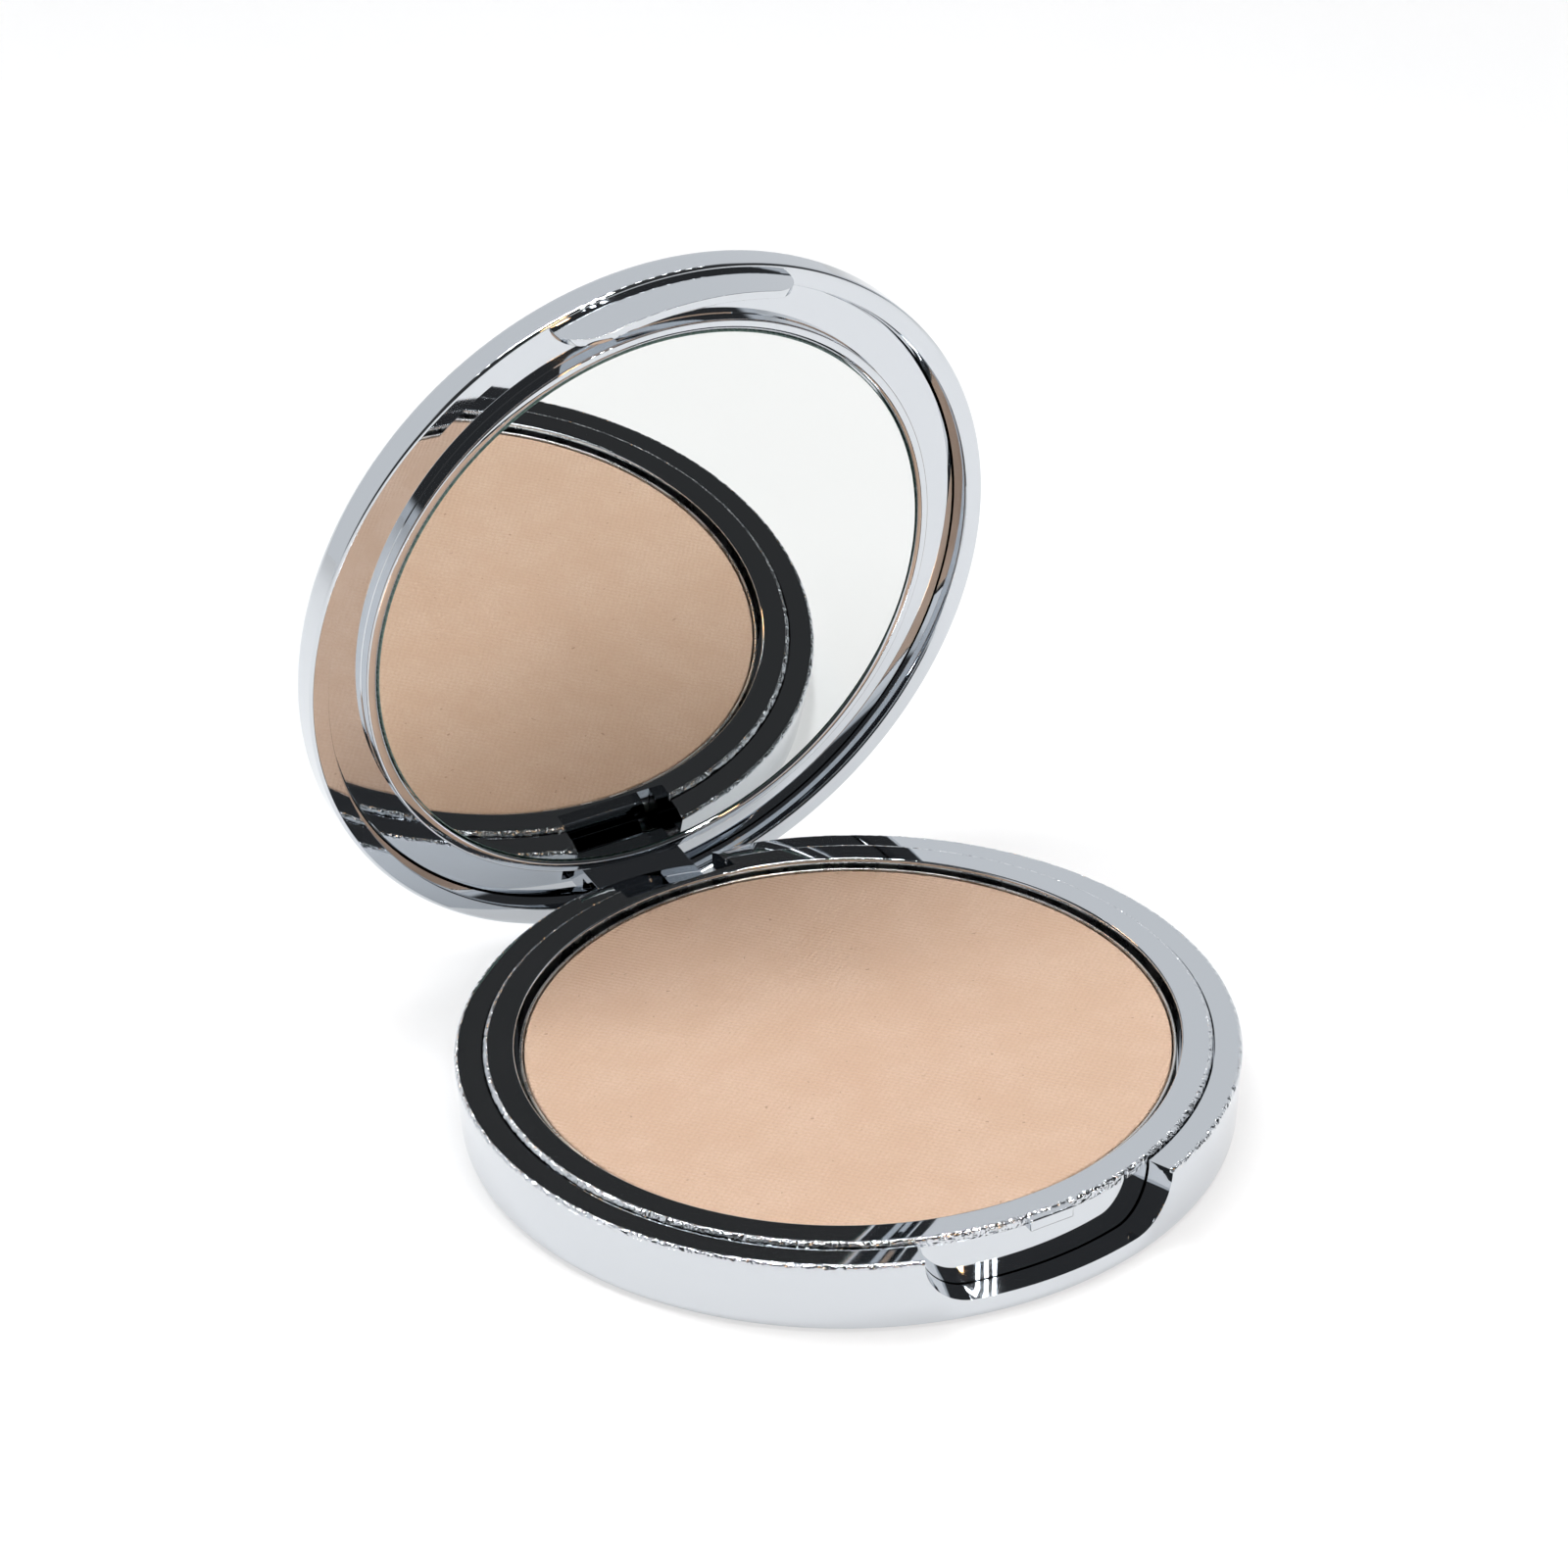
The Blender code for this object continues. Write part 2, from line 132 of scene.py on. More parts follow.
class Bench:
    """The hand-modelling steps that the pieces share."""

    @staticmethod
    def clear_selection() -> None:
        """Leave edit mode and deselect every object."""
        if bpy.context.object and bpy.context.object.mode != "OBJECT":
            bpy.ops.object.mode_set(mode="OBJECT")
        bpy.ops.object.select_all(action="DESELECT")

    @staticmethod
    def take(piece: bpy.types.Object) -> None:
        """Make one object the active and only selected one."""
        Bench.clear_selection()
        bpy.context.view_layer.objects.active = piece
        piece.select_set(True)

    @staticmethod
    def pen(name: str, points: Sequence[Point]) -> bpy.types.Object:
        """Draw a chain of edges by extruding one vertex from point to point.

        Args:
            name: The new object's name.
            points: The chain's points.

        Returns:
            The new object, left in edit mode with its last vertex selected.
        """
        Bench.clear_selection()
        bpy.ops.mesh.primitive_plane_add(size=MM)
        piece = bpy.context.object
        piece.name = name
        bpy.ops.object.mode_set(mode="EDIT")
        bpy.ops.mesh.select_mode(type="VERT")
        bpy.ops.mesh.merge(type="CENTER")
        here = Vector(points[0])
        bpy.ops.transform.translate(value=here)
        for point in points[1:]:
            step = Vector(point) - here
            bpy.ops.mesh.extrude_vertices_move(TRANSFORM_OT_translate={"value": step})
            here = Vector(point)
        return piece

    @staticmethod
    def close_skin() -> None:
        """In edit mode, merge doubles and point every face outwards."""
        bpy.ops.mesh.select_all(action="SELECT")
        bpy.ops.mesh.remove_doubles(threshold=MERGE_DISTANCE)
        bpy.ops.mesh.normals_make_consistent(inside=False)
        bpy.ops.object.mode_set(mode="OBJECT")

    @staticmethod
    def lathe(name: str, profile: Profile, closed: bool = False, steps: int = RING_STEPS) -> bpy.types.Object:
        """Spin an outline of (radius, height) points about the Z axis.

        Args:
            name: The new object's name.
            profile: The outline's points.
            closed: True where the outline is a loop that doesn't reach the axis.
            steps: How many facets go round.

        Returns:
            The turned solid.
        """
        points = [(radius, 0.0, height) for radius, height in profile]
        if closed:
            points.append(points[0])
        piece = Bench.pen(name, points)
        bpy.ops.mesh.select_all(action="SELECT")
        bpy.ops.mesh.spin(steps=steps, angle=FULL_TURN, center=(0, 0, 0), axis=(0, 0, 1))
        Bench.close_skin()
        return piece

    @staticmethod
    def prism(name: str, outline: Sequence[Point], travel: Point) -> bpy.types.Object:
        """Fill a flat outline and extrude it along a straight line.

        Args:
            name: The new object's name.
            outline: The outline's points in order, not repeated at the end.
            travel: How far the face is extruded.

        Returns:
            The solid block.
        """
        piece = Bench.pen(name, outline)
        bpy.ops.mesh.select_all(action="SELECT")
        bpy.ops.mesh.edge_face_add()
        bpy.ops.mesh.extrude_region_move(TRANSFORM_OT_translate={"value": travel})
        Bench.close_skin()
        return piece

    @staticmethod
    def pick_faces(piece: bpy.types.Object, choose: Chooser) -> None:
        """Enter edit mode with only the chosen faces selected.

        Args:
            piece: The object to edit.
            choose: Says from its middle whether a face is taken.
        """
        Bench.take(piece)
        bpy.ops.object.mode_set(mode="EDIT")
        bpy.ops.mesh.select_mode(type="FACE")
        bpy.ops.mesh.select_all(action="DESELECT")
        bpy.ops.object.mode_set(mode="OBJECT")
        for face in piece.data.polygons:
            face.select = choose(face.center)
        bpy.ops.object.mode_set(mode="EDIT")

    @staticmethod
    def merge_with(piece: bpy.types.Object, other: bpy.types.Object, operation: str) -> None:
        """Cut, join or trim a piece with another solid, and use the other one up.

        Args:
            piece: The piece that is kept.
            other: The cutter, the addition or the trimming block.
            operation: DIFFERENCE, UNION or INTERSECT.
        """
        Bench.take(piece)
        step = piece.modifiers.new("solid", "BOOLEAN")
        step.operation = operation
        step.solver = "EXACT"
        step.object = other
        bpy.ops.object.modifier_apply(modifier=step.name)
        bpy.data.objects.remove(other, do_unlink=True)

    @staticmethod
    def ease(piece: bpy.types.Object, width: float, segments: int = 3, angle: float = 40.0) -> None:
        """Round a block's edges with a bevel.

        Args:
            piece: The block.
            width: The bevel's width.
            segments: How many steps round it.
            angle: Edges sharper than this, in degrees, are eased.
        """
        Bench.take(piece)
        step = piece.modifiers.new("ease", "BEVEL")
        step.width = width
        step.segments = segments
        step.limit_method = "ANGLE"
        step.angle_limit = math.radians(angle)
        bpy.ops.object.modifier_apply(modifier=step.name)

    @staticmethod
    def smooth(piece: bpy.types.Object, angle: float = 32.0) -> None:
        """Shade a piece smooth, with its broad faces kept optically flat.

        Args:
            piece: The piece.
            angle: Edges sharper than this, in degrees, stay sharp.
        """
        Bench.take(piece)
        bpy.ops.object.shade_smooth_by_angle(angle=math.radians(angle))
        step = piece.modifiers.new("flats", "WEIGHTED_NORMAL")
        step.mode = "FACE_AREA"
        step.weight = 50
        step.keep_sharp = True
        bpy.ops.object.modifier_apply(modifier=step.name)

    @staticmethod
    def swing_open(piece: bpy.types.Object, hinge: "Hinge") -> None:
        """Turn a lid piece from shut to open about the hinge.

        Args:
            piece: A piece modelled in the shut position.
            hinge: The lid's hinge.
        """
        Bench.take(piece)
        bpy.ops.object.mode_set(mode="EDIT")
        bpy.ops.mesh.select_all(action="SELECT")
        # With no window the operator turns the other way, so this positive angle opens the lid
        bpy.ops.transform.rotate(value=hinge.open_angle, orient_axis="X", center_override=hinge.place)
        bpy.ops.object.mode_set(mode="OBJECT")

    @staticmethod
    def hand_over(
        piece: bpy.types.Object, body: Body, node: str, slot: Slot, finishes: Sequence[bpy.types.Material]
    ) -> None:
        """Dress a finished piece and put it in the CAD node's place.

        Args:
            piece: The finished piece.
            body: The body that it rides on.
            node: The CAD node that it stands for.
            slot: The record's slot for its finish; not used.
            finishes: Its materials, in the order of its slots.
        """
        for finish in finishes:
            piece.data.materials.append(finish)
        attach(piece, body.value)
        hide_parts(node)
        LOG.info("%s: %d faces", piece.name, len(piece.data.polygons))


# ---------------------------------------------------------------- finishes


class Graph:
    """A material's node tree, with short calls to add and join nodes."""

    def __init__(self, name: str) -> None:
        """Start a material with an empty Principled shader."""
        self.material = bpy.data.materials.new(name)
        self.material.use_nodes = True
        self.tree = self.material.node_tree
        self.shader = self.tree.nodes["Principled BSDF"]

    def node(self, kind: str, inputs: dict[str, object] | None = None, **settings: object) -> bpy.types.Node:
        """Add a node.

        Args:
            kind: The node's Blender type.
            inputs: Values or sockets for its inputs, by name.
            settings: Values for its own properties.

        Returns:
            The node.
        """
        made = self.tree.nodes.new(kind)
        for key, value in settings.items():
            setattr(made, key, value)
        for key, value in (inputs or {}).items():
            self.feed(made, key, value)
        return made

    def feed(self, node: bpy.types.Node, key: str | int, value: object) -> None:
        """Set an input, or link it if the value is a socket."""
        if isinstance(value, bpy.types.NodeSocket):
            self.tree.links.new(value, node.inputs[key])
        else:
            node.inputs[key].default_value = value

    def place(self, centre: Point = (0, 0, 0), tilt: float = 0.0, turn: float = 0.0) -> bpy.types.NodeSocket:
        """Object coordinates about a centre, tilted about X and turned about Z, in radians."""
        coords = self.node("ShaderNodeTexCoord").outputs["Object"]
        shifted = self.node("ShaderNodeVectorMath", {0: coords, 1: centre}, operation="SUBTRACT")
        tilted = self.node("ShaderNodeVectorRotate", {"Vector": shifted.outputs[0], "Angle": tilt},
                           rotation_type="X_AXIS")
        turned = self.node("ShaderNodeVectorRotate", {"Vector": tilted.outputs[0], "Angle": turn},
                           rotation_type="Z_AXIS")
        return turned.outputs[0]

    def noise(self, where: bpy.types.NodeSocket, size: float, detail: float = 2.0,
              roughness: float = 0.5) -> bpy.types.NodeSocket:
        """Noise whose features are about the given size, in metres."""
        made = self.node("ShaderNodeTexNoise", {"Vector": where, "Scale": 1 / size, "Detail": detail,
                                                "Roughness": roughness})
        return made.outputs["Fac"]

    def spread(self, value: bpy.types.NodeSocket, source: tuple[float, float],
               target: tuple[float, float]) -> bpy.types.NodeSocket:
        """Map a value smoothly from one range to another, clamped."""
        made = self.node("ShaderNodeMapRange", {"Value": value, "From Min": source[0], "From Max": source[1],
                                                "To Min": target[0], "To Max": target[1]},
                         interpolation_type="SMOOTHSTEP", clamp=True)
        return made.outputs["Result"]

    def sum(self, first: object, second: object, operation: str = "ADD") -> bpy.types.NodeSocket:
        """Combine two values with one arithmetic operation."""
        return self.node("ShaderNodeMath", {0: first, 1: second}, operation=operation).outputs[0]

    def blend(self, share: bpy.types.NodeSocket, first: object, second: object) -> bpy.types.NodeSocket:
        """Mix two colours by a share."""
        made = self.node("ShaderNodeMix", data_type="RGBA")
        self.tree.links.new(share, made.inputs[0])
        for index, value in ((6, first), (7, second)):
            self.feed(made, index, value if isinstance(value, bpy.types.NodeSocket) else (*value, 1.0))
        return made.outputs[2]

    def reach(self, where: bpy.types.NodeSocket) -> bpy.types.NodeSocket:
        """Distance from the Z axis."""
        flat = self.node("ShaderNodeVectorMath", {0: where, 1: (1, 1, 0)}, operation="MULTIPLY")
        return self.node("ShaderNodeVectorMath", {0: flat.outputs[0]}, operation="LENGTH").outputs["Value"]

    def band(self, value: bpy.types.NodeSocket, low: float, high: float) -> bpy.types.NodeSocket:
        """One where a value lies between two limits, otherwise nought."""
        return self.sum(self.sum(value, low, "GREATER_THAN"), self.sum(value, high, "LESS_THAN"), "MULTIPLY")

    def relief(self, height: bpy.types.NodeSocket, depth: float, strength: float = 1.0) -> None:
        """Bump the surface by a height of the given depth, in metres."""
        made = self.node("ShaderNodeBump", {"Height": height, "Distance": depth, "Strength": strength})
        self.tree.links.new(made.outputs["Normal"], self.shader.inputs["Normal"])


@dataclass(frozen=True)
class PlatedChrome:
    """Bright plating on moulded plastic: crisp, with a faint ripple and handling haze."""

    name: str = "plated_chrome"
    tint: Point = (0.655, 0.683, 0.715)
    clean: float = 0.018
    hazed: float = 0.05
    ripple_size: float = 7.0 * MM
    ripple_depth: float = 0.004 * MM
    haze_size: float = 9.0 * MM
    edges: tuple[tuple[float, float], ...] = ()
    edge_above: float = 6.72 * MM
    edge_size: float = 0.8 * MM
    edge_depth: float = 0.5 * MM

    def make(self) -> bpy.types.Material:
        """Build the material."""
        graph = Graph(self.name)
        where = graph.place()
        haze = graph.noise(where, self.haze_size, 5.0, 0.6)
        graph.feed(graph.shader, "Roughness", graph.spread(haze, (0.42, 0.72), (self.clean, self.hazed)))
        graph.shader.inputs["Base Color"].default_value = (*self.tint, 1.0)
        graph.shader.inputs["Metallic"].default_value = 1.0
        height = graph.sum(graph.noise(where, self.ripple_size, 1.0), self.ripple_depth, "MULTIPLY")
        if self.edges:
            height = graph.sum(height, self.uneven_edges(graph, where))
        graph.relief(height, 1.0)
        return graph.material

    def uneven_edges(self, graph: Graph, where: bpy.types.NodeSocket) -> bpy.types.NodeSocket:
        """Build-up of plating on the rounded edges, as a height in metres."""
        bumps = graph.sum(graph.noise(where, self.edge_size, 2.0, 0.6), 0.5, "SUBTRACT")
        reach = graph.reach(where)
        rise = graph.node("ShaderNodeSeparateXYZ", {0: where}).outputs["Z"]
        high = graph.sum(rise, self.edge_above, "GREATER_THAN")
        height = graph.sum(graph.sum(bumps, high, "MULTIPLY"), self.edge_depth, "MULTIPLY")
        bands = [graph.band(reach, low, far) for low, far in self.edges]
        return graph.sum(height, graph.sum(*bands), "MULTIPLY")


@dataclass(frozen=True)
class PressedPowder:
    """Matt skin-coloured powder, pressed under cloth: a fine weave with painted shade in its hollows, soft blotches
    and dark specks.
    """

    name: str = "pressed_powder"
    body: Point = (0.64, 0.45, 0.325)
    pale: Point = (0.685, 0.50, 0.375)
    # deep is the painted shade tone, laid into the weave's hollows and the grain's low spots
    deep: Point = (0.57, 0.385, 0.275)
    speck: Point = (0.30, 0.18, 0.12)
    thread_pitch: float = 0.34 * MM
    weave_turn: float = math.radians(7)
    weave_depth: float = 0.05 * MM
    blotch_size: float = 6.0 * MM
    grain_size: float = 0.20 * MM
    speck_size: float = 0.5 * MM

    def make(self) -> bpy.types.Material:
        """Build the material."""
        graph = Graph(self.name)
        where = graph.place(turn=self.weave_turn)
        weave = self.weave(graph, where)
        grain = graph.noise(where, self.grain_size, 3.0, 0.7)
        blotch = graph.noise(where, self.blotch_size, 3.0, 0.55)
        colour = graph.blend(graph.spread(blotch, (0.35, 0.68), (0.0, 1.0)), self.body, self.pale)
        # Painted shade: the colour turns towards the deep tone in the weave's hollows, and also where the grain is
        # low; both sink in the bump below
        shade = graph.sum(graph.spread(weave, (0.0, 1.0), (0.22, 0.0)), graph.spread(grain, (0.3, 0.7), (0.60, 0.0)))
        colour = graph.blend(shade, colour, self.deep)
        specks = graph.spread(graph.noise(where, self.speck_size, 0.0), (0.83, 0.90), (0.0, 0.6))
        graph.feed(graph.shader, "Base Color", graph.blend(specks, colour, self.speck))
        graph.shader.inputs["Roughness"].default_value = 0.92
        graph.shader.inputs["Specular IOR Level"].default_value = 0.25
        graph.shader.inputs["Sheen Weight"].default_value = 0.12
        graph.shader.inputs["Sheen Roughness"].default_value = 0.6
        graph.relief(graph.sum(weave, graph.sum(grain, 0.6, "MULTIPLY")), self.weave_depth)
        return graph.material

    def weave(self, graph: Graph, where: bpy.types.NodeSocket) -> bpy.types.NodeSocket:
        """Plain-weave height from 0 to 1: two sets of threads that pass over each other in turn."""
        drift = graph.node("ShaderNodeTexNoise", {"Vector": where, "Scale": 1 / (2.5 * MM), "Detail": 2.0})
        push = graph.node("ShaderNodeVectorMath", {0: drift.outputs["Color"], "Scale": self.thread_pitch},
                          operation="SCALE")
        moved = graph.node("ShaderNodeVectorMath", {0: where, 1: push.outputs[0]}, operation="ADD")
        parts = graph.node("ShaderNodeSeparateXYZ", {0: moved.outputs[0]})
        waves = []
        for axis in ("X", "Y"):
            phase = graph.sum(parts.outputs[axis], math.pi / self.thread_pitch, "MULTIPLY")
            waves.append(graph.node("ShaderNodeMath", {0: phase}, operation="SINE").outputs[0])
        over = graph.sum(waves[0], waves[1], "MULTIPLY")
        return graph.spread(over, (-1.0, 1.0), (0.0, 1.0))


@dataclass(frozen=True)
class MirrorGlass:
    """Silvered glass, almost clean."""

    name: str = "mirror_glass"
    silver: Point = (0.83, 0.845, 0.835)
    dust_size: float = 5.0 * MM

    def make(self) -> bpy.types.Material:
        """Build the material."""
        graph = Graph(self.name)
        where = graph.place()
        dust = graph.noise(where, self.dust_size, 6.0, 0.65)
        graph.feed(graph.shader, "Roughness", graph.spread(dust, (0.5, 0.8), (0.0, 0.02)))
        graph.shader.inputs["Base Color"].default_value = (*self.silver, 1.0)
        graph.shader.inputs["Metallic"].default_value = 1.0
        return graph.material


@dataclass(frozen=True)
class GlassEdge:
    """The ground green edge of float glass."""

    name: str = "glass_edge"
    pale: Point = (0.22, 0.34, 0.31)
    deep: Point = (0.07, 0.14, 0.13)

    def make(self) -> bpy.types.Material:
        """Build the material."""
        graph = Graph(self.name)
        chips = graph.noise(graph.place(), 0.4 * MM, 3.0)
        graph.feed(graph.shader, "Base Color", graph.blend(chips, self.deep, self.pale))
        graph.feed(graph.shader, "Roughness", graph.spread(chips, (0.3, 0.7), (0.15, 0.4)))
        graph.relief(chips, 0.01 * MM)
        return graph.material


@dataclass(frozen=True)
class BackPaint:
    """Grey protective paint on the mirror's back."""

    name: str = "mirror_back_paint"
    pale: Point = (0.36, 0.37, 0.38)
    deep: Point = (0.28, 0.29, 0.30)

    def make(self) -> bpy.types.Material:
        """Build the material."""
        graph = Graph(self.name)
        spray = graph.noise(graph.place(), 0.6 * MM, 4.0)
        graph.feed(graph.shader, "Base Color", graph.blend(spray, self.deep, self.pale))
        graph.feed(graph.shader, "Roughness", graph.spread(spray, (0.3, 0.7), (0.5, 0.75)))
        graph.relief(spray, 0.01 * MM)
        return graph.material


@dataclass(frozen=True)
class TurnedMetal:
    """Plain metal with fine marks that run round an axis: the pressed pan and the drawn pin."""

    name: str
    tint: Point
    dark: Point
    mark_pitch: float
    along_x: bool = False

    def make(self) -> bpy.types.Material:
        """Build the material."""
        graph = Graph(self.name)
        where = graph.place()
        kind = {"wave_type": "RINGS", "rings_direction": "Z"}
        if self.along_x:
            kind = {"wave_type": "BANDS", "bands_direction": "X"}
        marks = graph.node("ShaderNodeTexWave", {"Vector": where, "Scale": 0.314 / self.mark_pitch,
                                                 "Distortion": 1.5, "Detail": 3.0, "Detail Scale": 2.0}, **kind)
        wear = graph.noise(where, 3 * MM, 5.0, 0.6)
        share = graph.sum(marks.outputs["Fac"], wear, "MULTIPLY")
        graph.feed(graph.shader, "Base Color", graph.blend(share, self.dark, self.tint))
        graph.feed(graph.shader, "Roughness", graph.spread(wear, (0.3, 0.7), (0.2, 0.38)))
        graph.shader.inputs["Metallic"].default_value = 1.0
        graph.relief(marks.outputs["Fac"], 0.004 * MM)
        return graph.material


@dataclass(frozen=True)
class PrintedPaper:
    """White label paper with a plain grey printed border."""

    name: str = "label_paper"
    sheet: Point = (0.80, 0.80, 0.78)
    fibre: Point = (0.72, 0.72, 0.69)
    ink: Point = (0.30, 0.31, 0.33)
    borders: tuple[tuple[float, float], ...] = ((22.2 * MM, 22.6 * MM), (21.3 * MM, 21.45 * MM))

    def make(self) -> bpy.types.Material:
        """Build the material."""
        graph = Graph(self.name)
        where = graph.place()
        fibres = graph.noise(where, 0.5 * MM, 6.0, 0.7)
        colour = graph.blend(fibres, self.fibre, self.sheet)
        reach = graph.reach(where)
        for low, high in self.borders:
            colour = graph.blend(graph.band(reach, low, high), colour, self.ink)
        graph.feed(graph.shader, "Base Color", colour)
        graph.shader.inputs["Roughness"].default_value = 0.62
        graph.relief(fibres, 0.02 * MM)
        return graph.material


@dataclass(frozen=True)
class CloudySolid:
    """A soft matt solid whose colour clouds between two tones: glue and foam."""

    name: str
    pale: Point
    deep: Point
    cell: float
    depth: float
    gloss: tuple[float, float]

    def make(self) -> bpy.types.Material:
        """Build the material."""
        graph = Graph(self.name)
        cells = graph.noise(graph.place(), self.cell, 4.0, 0.65)
        graph.feed(graph.shader, "Base Color", graph.blend(cells, self.deep, self.pale))
        graph.feed(graph.shader, "Roughness", graph.spread(cells, (0.3, 0.7), self.gloss))
        graph.relief(cells, self.depth)
        return graph.material


@dataclass(frozen=True)
class Finishes:
    """Every finish of the compact, made once."""

    chrome: bpy.types.Material
    base_chrome: bpy.types.Material
    powder: bpy.types.Material
    pan: bpy.types.Material
    pin: bpy.types.Material
    mirror: bpy.types.Material
    glass_edge: bpy.types.Material
    back_paint: bpy.types.Material
    paper: bpy.types.Material
    glue: bpy.types.Material
    foam: bpy.types.Material

    @staticmethod
    def make() -> "Finishes":
        """Make all the materials."""
        return Finishes(
            chrome=PlatedChrome().make(),
            base_chrome=PlatedChrome("plated_chrome_base", edges=BASE_EDGES).make(),
            powder=PressedPowder().make(),
            pan=TurnedMetal("pan_aluminium", (0.80, 0.79, 0.77), (0.60, 0.59, 0.57), 0.25 * MM).make(),
            pin=TurnedMetal("pin_steel", (0.62, 0.62, 0.63), (0.45, 0.45, 0.46), 0.2 * MM, along_x=True).make(),
            mirror=MirrorGlass().make(),
            glass_edge=GlassEdge().make(),
            back_paint=BackPaint().make(),
            paper=PrintedPaper().make(),
            glue=CloudySolid("clear_glue", (0.80, 0.76, 0.62), (0.70, 0.65, 0.50), 2 * MM, 0.03 * MM,
                             (0.25, 0.45)).make(),
            foam=CloudySolid("foam_tape", (0.84, 0.84, 0.81), (0.68, 0.68, 0.65), 0.15 * MM, 0.04 * MM,
                             (0.8, 0.95)).make(),
        )


# ---------------------------------------------------------------- sub-assemblies


@dataclass
class Hinge:
    """The lid's hinge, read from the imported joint."""

    place: Point
    open_angle: float

    @staticmethod
    def read() -> "Hinge":
        """Take the hinge's place and its opening from the frame."""
        joint = frame["joints"][0]
        return Hinge(tuple(joint["pos_m"]), math.radians(joint["range_deg"][1]))

    @property
    def height(self) -> float:
        """How high the axis lies."""
        return self.place[2]

    @property
    def depth(self) -> float:
        """How far back the axis lies."""
        return self.place[1]


@dataclass(frozen=True)
class RimShape:
    """A U on the front of the rim, seen from the front: the thumb notch and the tab that hangs in it."""

    half_width: float
    low: float
    corner: float
    high: float
    body_radius: float

    def outline(self, radius: float) -> list[Point]:
        """The U laid on a cylinder about the axis.

        Args:
            radius: The cylinder's radius.

        Returns:
            The outline's points, in order.
        """
        straight = self.half_width - self.corner
        centre = self.low + self.corner
        flat = arc((-straight, centre), self.corner, 180, 270, 16)
        flat += run((-straight, self.low), (straight, self.low), 15)[:-1]
        flat += arc((straight, centre), self.corner, 270, 360, 16)
        flat += run((self.half_width, self.high), (-self.half_width, self.high), 24)
        turns = [along / self.body_radius for along, _ in flat]
        return [
            (radius * math.sin(turn), -radius * math.cos(turn), height)
            for turn, (_, height) in zip(turns, flat)
        ]

    def block(self, name: str, inner: float, outer: float) -> bpy.types.Object:
        """A block with the U's outline that narrows towards the axis.

        Args:
            name: The block's name.
            inner: The radius that the block reaches in to.
            outer: The radius that it reaches out to.

        Returns:
            The block.
        """
        block = Bench.pen(name, self.outline(outer))
        bpy.ops.mesh.select_all(action="SELECT")
        bpy.ops.mesh.edge_face_add()
        bpy.ops.mesh.extrude_region_move(TRANSFORM_OT_translate={"value": (0, 0, 0)})
        shrink = inner / outer
        bpy.ops.transform.resize(value=(shrink, shrink, 1), center_override=(0, 0, 0))
        Bench.close_skin()
        return block


